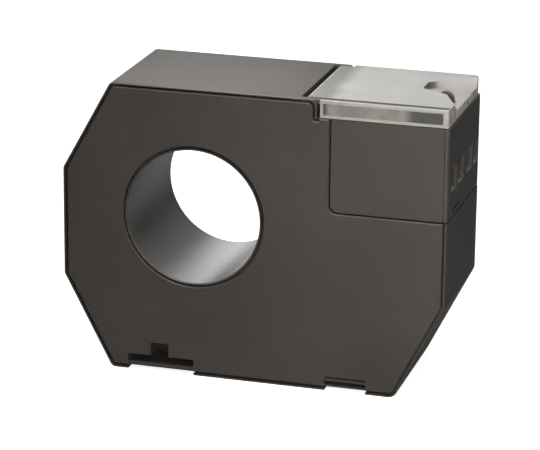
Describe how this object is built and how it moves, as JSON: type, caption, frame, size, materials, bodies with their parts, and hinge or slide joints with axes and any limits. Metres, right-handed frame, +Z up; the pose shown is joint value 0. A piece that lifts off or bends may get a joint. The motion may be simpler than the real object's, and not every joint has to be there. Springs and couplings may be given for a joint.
{
  "type": "toroidal current transformer",
  "caption": "Closed-core current transformer: flat case with a round cable window, foot sockets, a terminal bay with side wire entries and a hinged clear terminal lid.",
  "frame": {"origin": "centre of the cable window, half way through the case", "axes": "+X from the window towards the terminal side, +Y along the window from the front cover to the back, +Z up"},
  "size_m": [0.1, 0.036, 0.076],
  "materials": {
    "case_plastic": "fine-textured dark grey-brown moulding",
    "lid_plastic": "clear, slightly milky moulding",
    "core_strip": "wound strip",
    "inner_plastic": "natural moulding",
    "winding_wire": "copper-coloured enamel",
    "screw_steel": "zinc plated",
    "carrier_plastic": "plain moulding",
    "clamp_steel": "zinc plated",
    "bar_brass": "plain stamped",
    "sleeve_plastic": "woven sleeve"
  },
  "bodies": {
    "case": {"contact_bar_front": "bar_brass", "contact_bar_rear": "bar_brass", "core_case_base": "inner_plastic", "core_case_lid": "inner_plastic", "front_cover": "case_plastic", "housing_shell": "case_plastic", "lead_sleeve_front": "sleeve_plastic", "lead_sleeve_rear": "sleeve_plastic", "secondary_winding": "winding_wire", "terminal_carrier_front": "carrier_plastic", "terminal_carrier_rear": "carrier_plastic", "terminal_clamp_1": "clamp_steel", "terminal_clamp_2": "clamp_steel", "terminal_clamp_3": "clamp_steel", "terminal_clamp_4": "clamp_steel", "terminal_housing": "case_plastic", "terminal_screws": "screw_steel", "toroid_core": "core_strip", "winding_lead_front": "winding_wire", "winding_lead_rear": "winding_wire"},
    "lid": {"terminal_lid": "lid_plastic"}
  },
  "joints": [
    {"name": "lid_hinge", "type": "hinge", "parent": "case", "child": "lid", "pos_m": [0.0296, 0, 0.0317], "axis": [0, -1, 0], "range_deg": [0, 95]}
  ]
}
